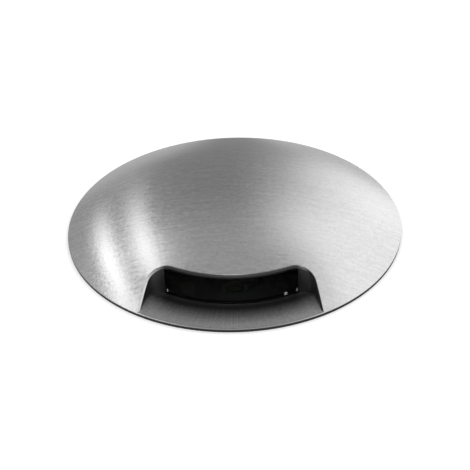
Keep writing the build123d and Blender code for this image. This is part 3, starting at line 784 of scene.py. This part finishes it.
def makeWorld(s):
    world = bpy.data.worlds.new("studio")
    bpy.context.scene.world = world
    tree = startTree(world)
    path = addNode(tree, "LightPath").outputs
    bent = maths(tree, "MAXIMUM", path["Is Glossy Ray"], path["Is Transmission Ray"])
    levels = {
        0: maths(tree, "MAXIMUM", path["Is Camera Ray"], bent),
        1: addNode(tree, "Background", {"Color": grey(1), "Strength": s["asLight"]}).outputs[0],
        2: addNode(tree, "Background", {"Color": grey(1), "Strength": s["seen"]}).outputs[0],
    }
    addNode(tree, "OutputWorld", {"Surface": addNode(tree, "MixShader", levels).outputs[0]})


# Directions are turned from the back of the light, to its right, and raised from the horizon
lampSettings = {
    "right softbox": dict(turn=50, raised=35, distance=0.9, wide=0.8, tall=0.6, radiance=1.1),
    "left softbox": dict(turn=-55, raised=45, distance=0.9, wide=0.5, tall=0.6, radiance=0.9),
    "overhead": dict(turn=180, raised=80, distance=1.0, wide=0.8, tall=0.8, radiance=0.8),
}
tentSettings = {
    "radius": 1.2,
    "steps": (64, 32),
    "trim": 0.1 * mm,
    "left": 0.5,
    "back": 0.305,
    "leftEnds": (-57, -10),
    "zenith": 0.485,
    "zenithFrom": (40, 65),
    "right": 1.38,
    "rightFrom": (-4, 41),
    "rightTop": (49, 71),
    "front": 0.32,
    "frontFrom": (0.1, 0.5),
}
# Patches of light on the tent: long and wide are (half size, softness), as shares of the radius
tentPatches = {
    "glow": dict(radiance=0.3, turn=25, raised=10, tilt=0, long=(0.22, 0.11), wide=(0.22, 0.11)),
    "outer tube": dict(radiance=2.5, turn=-66, raised=44.7, tilt=-38,
                       long=(0.42, 0.3), wide=(0.035, 0.035)),
    "inner tube": dict(radiance=1.5, turn=-50.4, raised=51, tilt=-51.5,
                       long=(0.42, 0.34), wide=(0.041, 0.041)),
    "tube shade": dict(radiance=0.7, turn=-50, raised=51.5, tilt=0,
                       long=(0.08, 0.15), wide=(0.19, 0.15)),
    "back glow": dict(radiance=0.12, turn=-24, raised=8, tilt=0,
                      long=(0.06, 0.06), wide=(0.14, 0.12)),
    "front window": dict(radiance=2.0, turn=180, raised=20, tilt=0,
                         long=(0.2, 0.05), wide=(0.12, 0.05)),
}


def awayTo(turn, raised):
    turn, raised = math.radians(turn), math.radians(raised)
    level = math.cos(raised)
    return Vector((math.sin(turn) * level, math.cos(turn) * level, math.sin(raised)))


def makeLamps(lamps):
    for name, s in lamps.items():
        data = bpy.data.lights.new(name, "AREA")
        data.shape = "RECTANGLE"
        data.size, data.size_y = s["wide"], s["tall"]
        data.energy = s["radiance"] * math.pi * s["wide"] * s["tall"]
        lamp = addObject(name, data)
        away = awayTo(s["turn"], s["raised"])
        facing = away.to_track_quat("Z", "Y").to_matrix().to_4x4()
        lamp.matrix_world = Matrix.Translation(away * s["distance"]) @ facing
        lamp.visible_glossy = False


def within(tree, place, way, half, soft):
    reach = maths(tree, "ABSOLUTE", alongWay(tree, place, way))
    return smoothly(tree, reach, half - soft, half + soft, 1, 0)


# A soft patch of light on the tent
def patch(tree, place, s):
    centre = awayTo(s["turn"], s["raised"])
    level = awayTo(s["turn"] + 90, 0)
    rising = level.cross(centre)
    tilt = math.radians(s["tilt"])
    long = level * math.cos(tilt) + rising * math.sin(tilt)
    wide = rising * math.cos(tilt) - level * math.sin(tilt)
    mask = within(tree, place, long, *s["long"])
    mask = maths(tree, "MULTIPLY", mask, within(tree, place, wide, *s["wide"]))
    facing = maths(tree, "GREATER_THAN", alongWay(tree, place, centre), 0)
    return maths(tree, "MULTIPLY", maths(tree, "MULTIPLY", mask, facing), s["radiance"])


def tentMaterial(s, patches):
    material = bpy.data.materials.new("tentCloth")
    tree = startTree(material)
    unit = addNode(tree, "VectorMath", {"Vector": objectPlace(tree)}, operation="NORMALIZE")
    place = unit.outputs["Vector"]
    across, along, up = split(tree, place)
    turn = turnOf(tree, across, along)
    raised = maths(tree, "DEGREES", maths(tree, "ARCSINE", up))
    toRight = smoothly(tree, turn, *s["rightFrom"])
    toRight = maths(tree, "MULTIPLY", toRight, smoothly(tree, raised, *s["rightTop"], 1, 0))
    toFront = smoothly(tree, maths(tree, "MULTIPLY", along, -1), *s["frontFrom"])
    level = smoothly(tree, turn, *s["leftEnds"], s["left"], s["back"])
    level = blendValues(tree, smoothly(tree, raised, *s["zenithFrom"]), level, s["zenith"])
    level = blendValues(tree, toRight, level, s["right"])
    level = blendValues(tree, toFront, level, s["front"])
    for light in patches.values():
        level = maths(tree, "ADD", level, patch(tree, place, light))
    glow = addNode(tree, "Emission", {"Color": grey(1), "Strength": level})
    addNode(tree, "OutputMaterial", {"Surface": glow.outputs[0]})
    return material


# A half round tent of light that only reflections see
def makeTent(s, patches):
    around, upward = s["steps"]
    mesh = bmesh.new()
    bmesh.ops.create_uvsphere(mesh, u_segments=around, v_segments=upward, radius=s["radius"])
    everything = list(mesh.verts) + list(mesh.edges) + list(mesh.faces)
    bmesh.ops.bisect_plane(mesh, geom=everything, dist=s["trim"], plane_co=(0, 0, 0), plane_no=(0, 0, 1),
                           clear_inner=True)
    tent = addMesh("tent", mesh, tentMaterial(s, patches))
    for ray in ("camera", "shadow", "diffuse", "transmission"):
        setattr(tent, "visible_" + ray, False)


makeFloor(floorSettings)
makeWorld(worldSettings)
makeLamps(lampSettings)
makeTent(tentSettings, tentPatches)
print("floor, world, lamps and tent placed")
